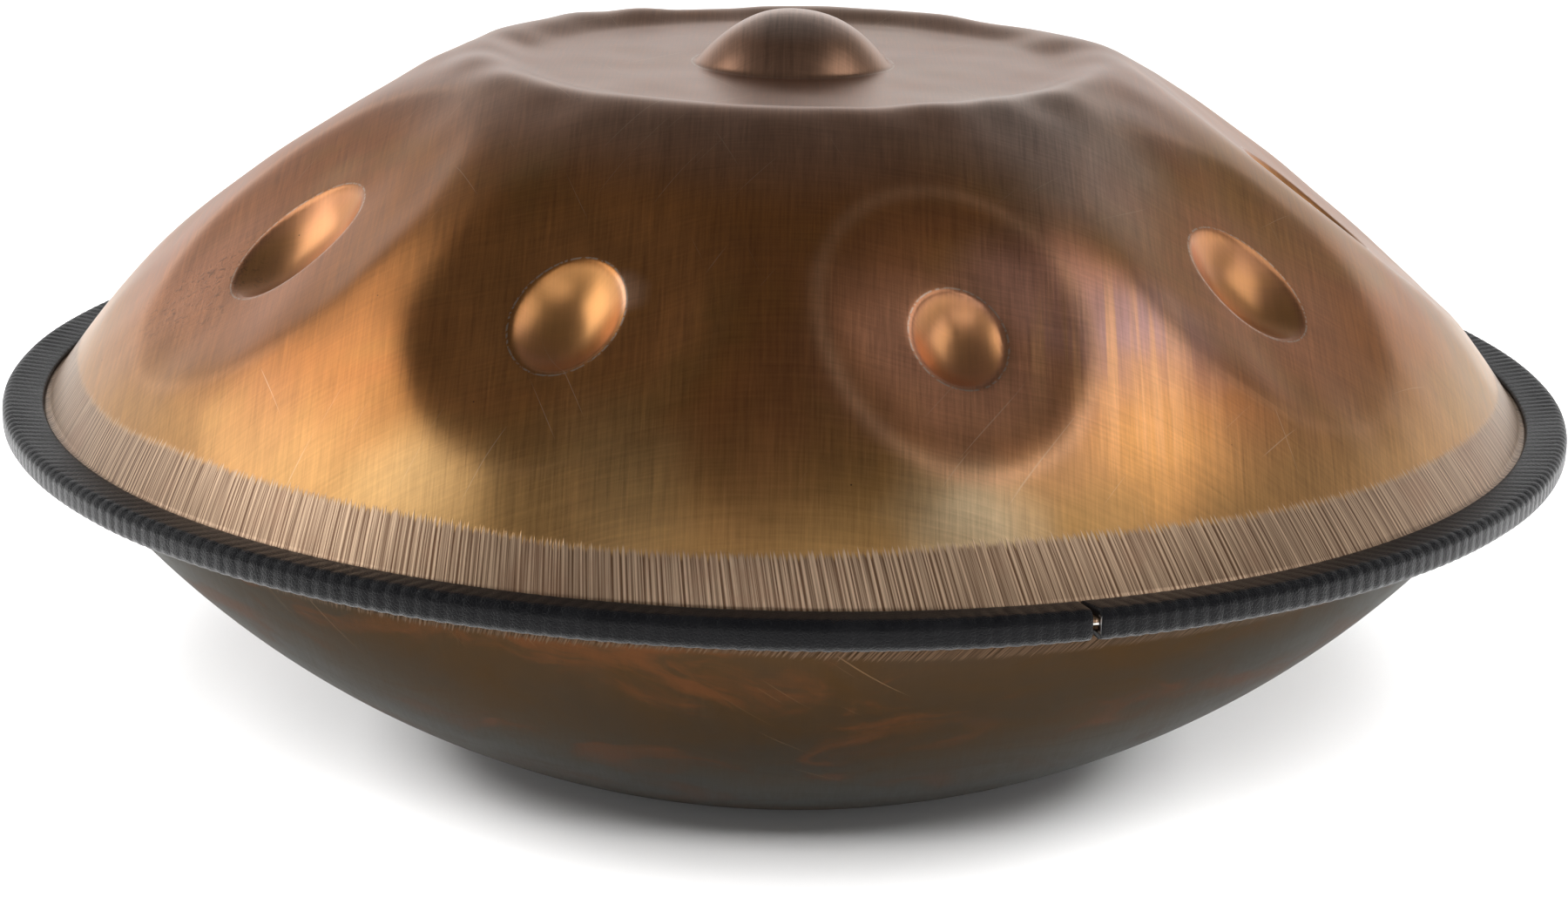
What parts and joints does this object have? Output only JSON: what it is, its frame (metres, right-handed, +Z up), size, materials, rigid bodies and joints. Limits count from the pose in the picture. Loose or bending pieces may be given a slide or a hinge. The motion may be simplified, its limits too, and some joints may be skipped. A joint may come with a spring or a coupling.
{
  "type": "handpan",
  "caption": "Handpan drum: two domed steel shells bonded at a flat rim, a raised centre dome, a ring of dimpled oval tone fields, a sound port below and a black edge trim.",
  "frame": {"origin": "on the vertical axis, in the plane of the flat ring that the instrument rests on", "axes": "+Z up along the axis through the centre dome; -Y towards the side with the two smallest tone fields; the trim's joint lies 19 degrees from -Y towards +X"},
  "size_m": [0.54, 0.54, 0.2555],
  "materials": {
    "top_steel": "Heat-tinted bronze-brown brushed steel, satin, with a paler sanded band beside the rim",
    "bottom_steel": "Heat-tinted brown brushed steel with cloudy reddish patches",
    "adhesive": "Cured structural adhesive, matt",
    "trim_plastic": "Black flexible plastic with a fine leather-like grain, ribbed by the clips inside",
    "clip_steel": "Zinc-plated spring steel"
  },
  "bodies": {
    "root": {"top_shell": "top_steel", "bottom_shell": "bottom_steel", "rim_adhesive": "adhesive", "edge_trim": "trim_plastic", "trim_clips": "clip_steel"}
  },
  "joints": []
}
